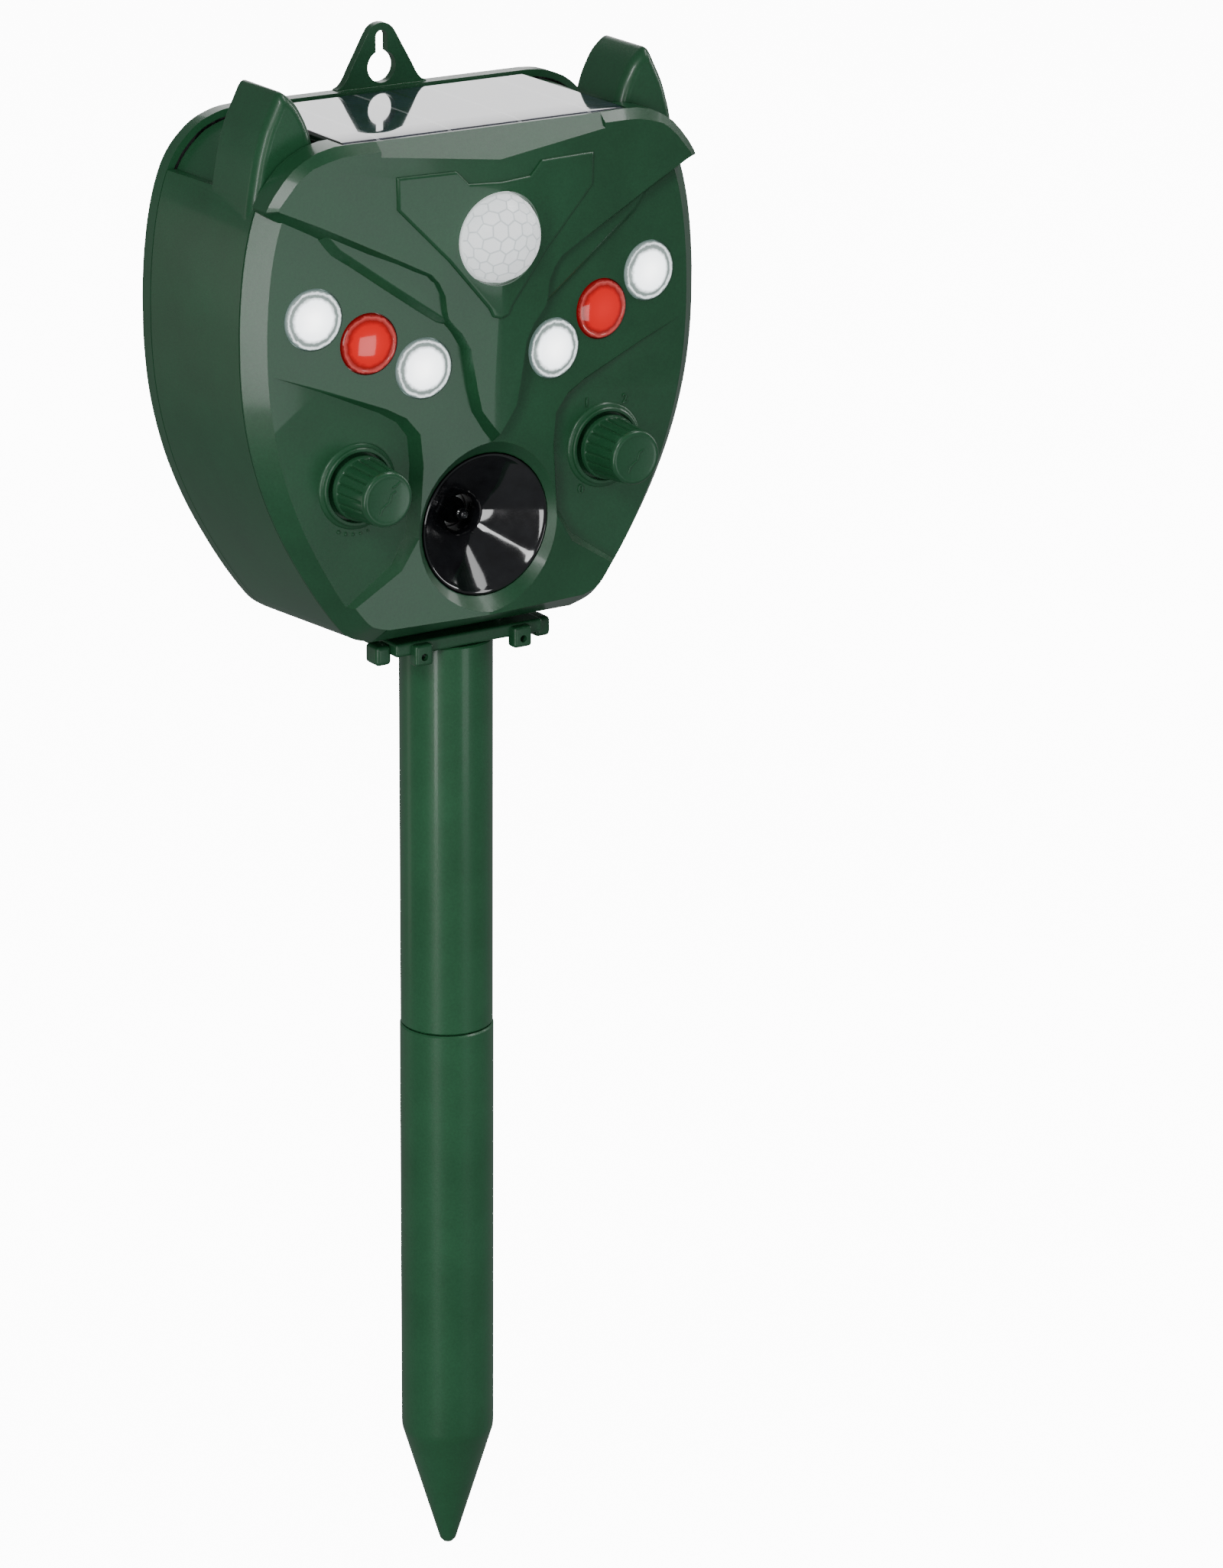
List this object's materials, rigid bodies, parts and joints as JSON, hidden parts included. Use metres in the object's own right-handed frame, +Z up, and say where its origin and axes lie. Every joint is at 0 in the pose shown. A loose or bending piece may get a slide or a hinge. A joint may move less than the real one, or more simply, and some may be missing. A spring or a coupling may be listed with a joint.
{
  "type": "ultrasonic pest repeller",
  "caption": "Solar garden pest repeller with an owl-like face, lamps, motion sensor, horn speaker and dials, on a pull-apart ground stake.",
  "frame": {"origin": "point of the ground spike, on the stake's axis", "axes": "+Z up along the stake, front of the face towards -Y, +X to the right of someone facing it"},
  "size_m": [0.1344, 0.0652, 0.4029],
  "materials": {
    "stake_green": "satin",
    "shell_green": "satin",
    "knob_green": "satin",
    "clear_lens": "clear",
    "red_lens": "clear red",
    "milky_lens": "milky",
    "horn_black": "gloss",
    "steel": "satin",
    "black_rubber": "matt",
    "black_plastic": "matt",
    "circuit_board": "solder mask",
    "cell_wrap": "shrink wrap",
    "solar_cells": "glossy"
  },
  "bodies": {
    "stake": {"stake_lower": "stake_green"},
    "upper_stake": {"stake_upper": "stake_green"},
    "left_dial": {"left_knob": "knob_green", "left_shaft": "steel"},
    "right_dial": {"right_knob": "knob_green", "right_shaft": "steel"},
    "socket_cover": {"socket_cover": "black_rubber"},
    "head": {"battery_cell": "cell_wrap", "battery_holder": "black_plastic", "bracket_screw_left": "steel", "bracket_screw_right": "steel", "charging_socket": "steel", "front_cover": "shell_green", "lamp_board_left": "circuit_board", "lamp_board_right": "circuit_board", "lamp_diode_left_inner": "clear_lens", "lamp_diode_left_middle": "red_lens", "lamp_diode_left_outer": "clear_lens", "lamp_diode_right_inner": "clear_lens", "lamp_diode_right_middle": "red_lens", "lamp_diode_right_outer": "clear_lens", "lamp_lens_left_inner": "clear_lens", "lamp_lens_left_middle": "red_lens", "lamp_lens_left_outer": "clear_lens", "lamp_lens_right_inner": "clear_lens", "lamp_lens_right_middle": "red_lens", "lamp_lens_right_outer": "clear_lens", "left_control": "black_plastic", "left_shaft_seal": "black_rubber", "main_board": "circuit_board", "main_housing": "shell_green", "pir_board": "circuit_board", "pir_lens": "milky_lens", "pir_sensor": "steel", "rear_cover": "shell_green", "rear_gasket": "black_rubber", "rear_screw_1": "steel", "rear_screw_2": "steel", "rear_screw_3": "steel", "rear_screw_4": "steel", "right_control": "black_plastic", "right_shaft_seal": "black_rubber", "socket_board": "circuit_board", "socket_cover_strap": "black_rubber", "solar_panel": "solar_cells", "speaker_driver": "steel", "speaker_horn": "horn_black", "speaker_plug": "horn_black", "stake_bracket": "stake_green"}
  },
  "joints": [
    {"name": "upper_stake_pull", "type": "slide", "parent": "stake", "child": "upper_stake", "axis": [0, 0, 1], "range_m": [0, 0.024]},
    {"name": "head_pull", "type": "slide", "parent": "upper_stake", "child": "head", "axis": [0, 0, 1], "range_m": [0, 0.024]},
    {"name": "left_knob_turn", "type": "hinge", "parent": "head", "child": "left_dial", "pos_m": [-0.0358, -0.019, 0.3008], "axis": [0, 1, 0], "range_deg": [0, 270]},
    {"name": "right_knob_turn", "type": "hinge", "parent": "head", "child": "right_dial", "pos_m": [0.0358, -0.019, 0.3008], "axis": [0, 1, 0], "range_deg": [0, 270]},
    {"name": "socket_cover_hinge", "type": "hinge", "parent": "head", "child": "socket_cover", "pos_m": [-0.024, 0.03105, 0.2772], "axis": [1, 0, 0], "range_deg": [0, 110]}
  ]
}
